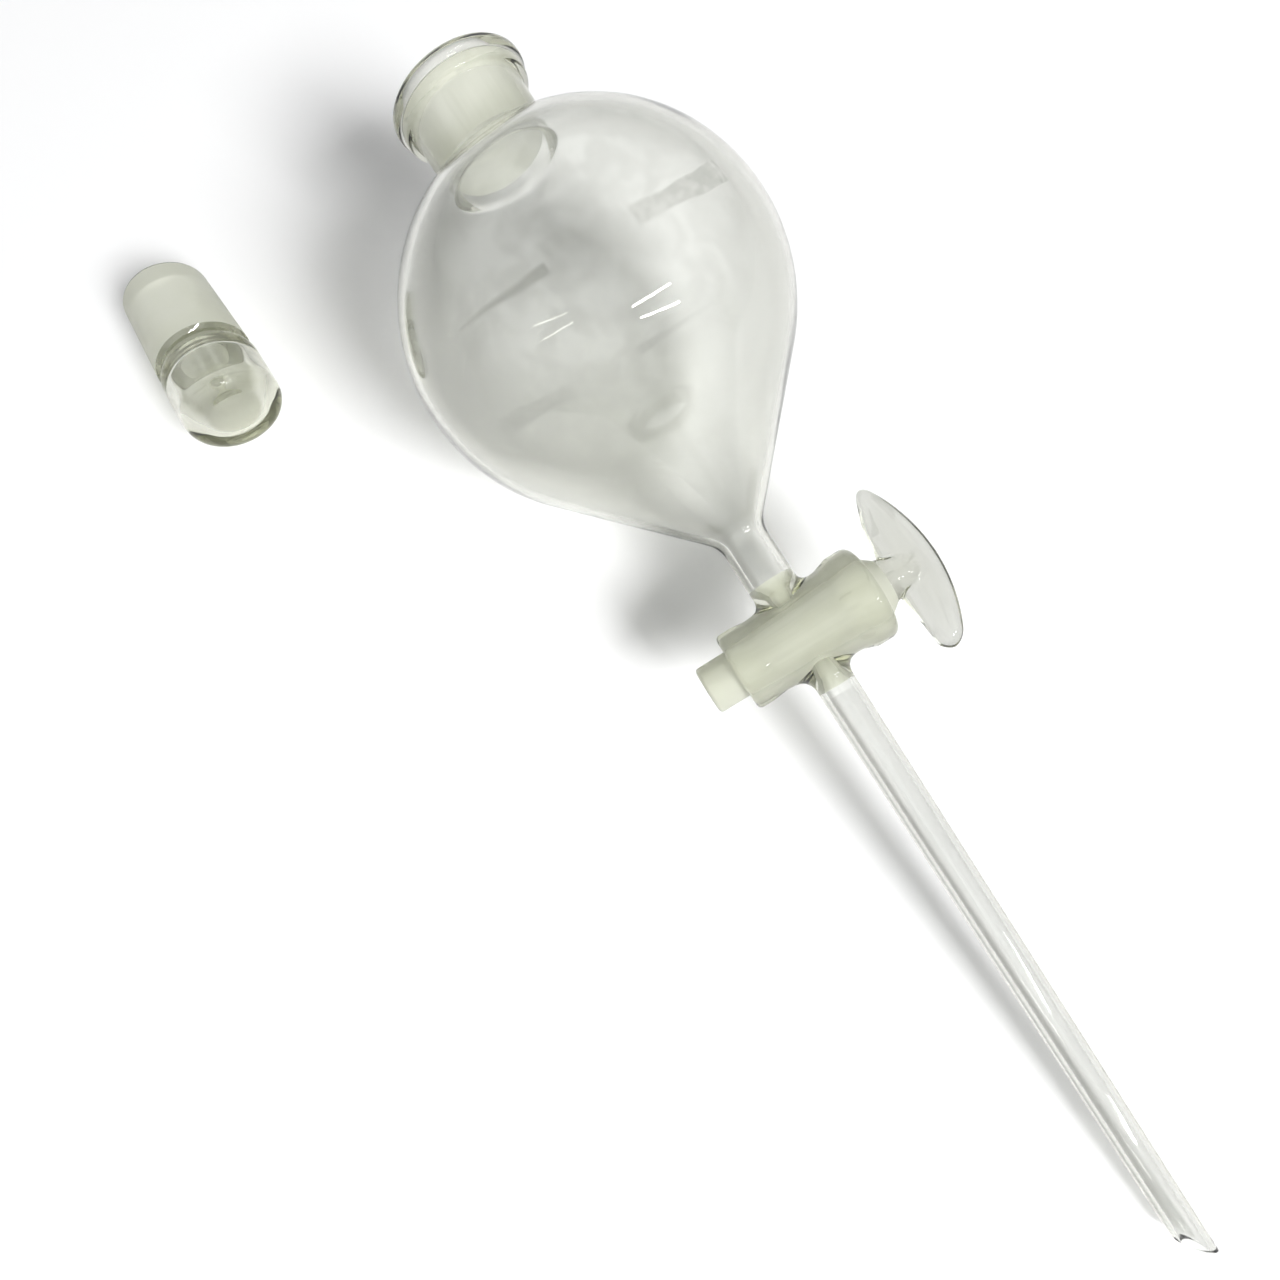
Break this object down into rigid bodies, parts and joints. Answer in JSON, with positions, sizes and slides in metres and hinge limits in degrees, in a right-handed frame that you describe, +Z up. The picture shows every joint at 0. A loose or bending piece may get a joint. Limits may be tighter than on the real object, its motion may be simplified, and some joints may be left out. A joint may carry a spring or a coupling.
{
  "type": "separatory funnel",
  "caption": "Pear-shaped glass separatory funnel lying on its side, with a ground neck, a glass stopcock, a bevelled stem and its loose stopper beside it.",
  "frame": {"origin": "centre of the bounding box's footprint, on the surface that the funnel and its stopper lie on", "axes": "+Z is up; +X runs level from the mouth to the stem's tip, the object's longest extent; +Y points to the side of the stopcock's handle, away from the loose stopper"},
  "size_m": [0.3042, 0.133, 0.0839],
  "materials": {
    "clear_glass": "clear blown borosilicate glass, very slightly grey-green",
    "ground_glass": "ground glass, frosted on the joint surfaces"
  },
  "bodies": {
    "glass_body": {"neck_socket": "ground_glass", "bulb": "clear_glass", "outlet_tube": "clear_glass", "stopcock_barrel": "ground_glass", "stem": "clear_glass"},
    "stopcock_key": {"stopcock_plug": "ground_glass", "stopcock_handle": "clear_glass"},
    "stopper": {"stopper_plug": "ground_glass", "stopper_head": "clear_glass"}
  },
  "joints": [
    {"name": "stopcock_turn", "type": "hinge", "parent": "glass_body", "child": "stopcock_key", "pos_m": [0.01373, 0.02454, 0.02762], "axis": [0.0396, 0.9751, 0.218], "continuous": true},
    {"name": "stopper_carry", "type": "hinge", "parent": "glass_body", "child": "stopper", "pos_m": [-0.13834, -0.01444, 0.03192], "axis": [-0.0638, 0.4769, -0.8766], "range_deg": [0, 187.69]}
  ]
}
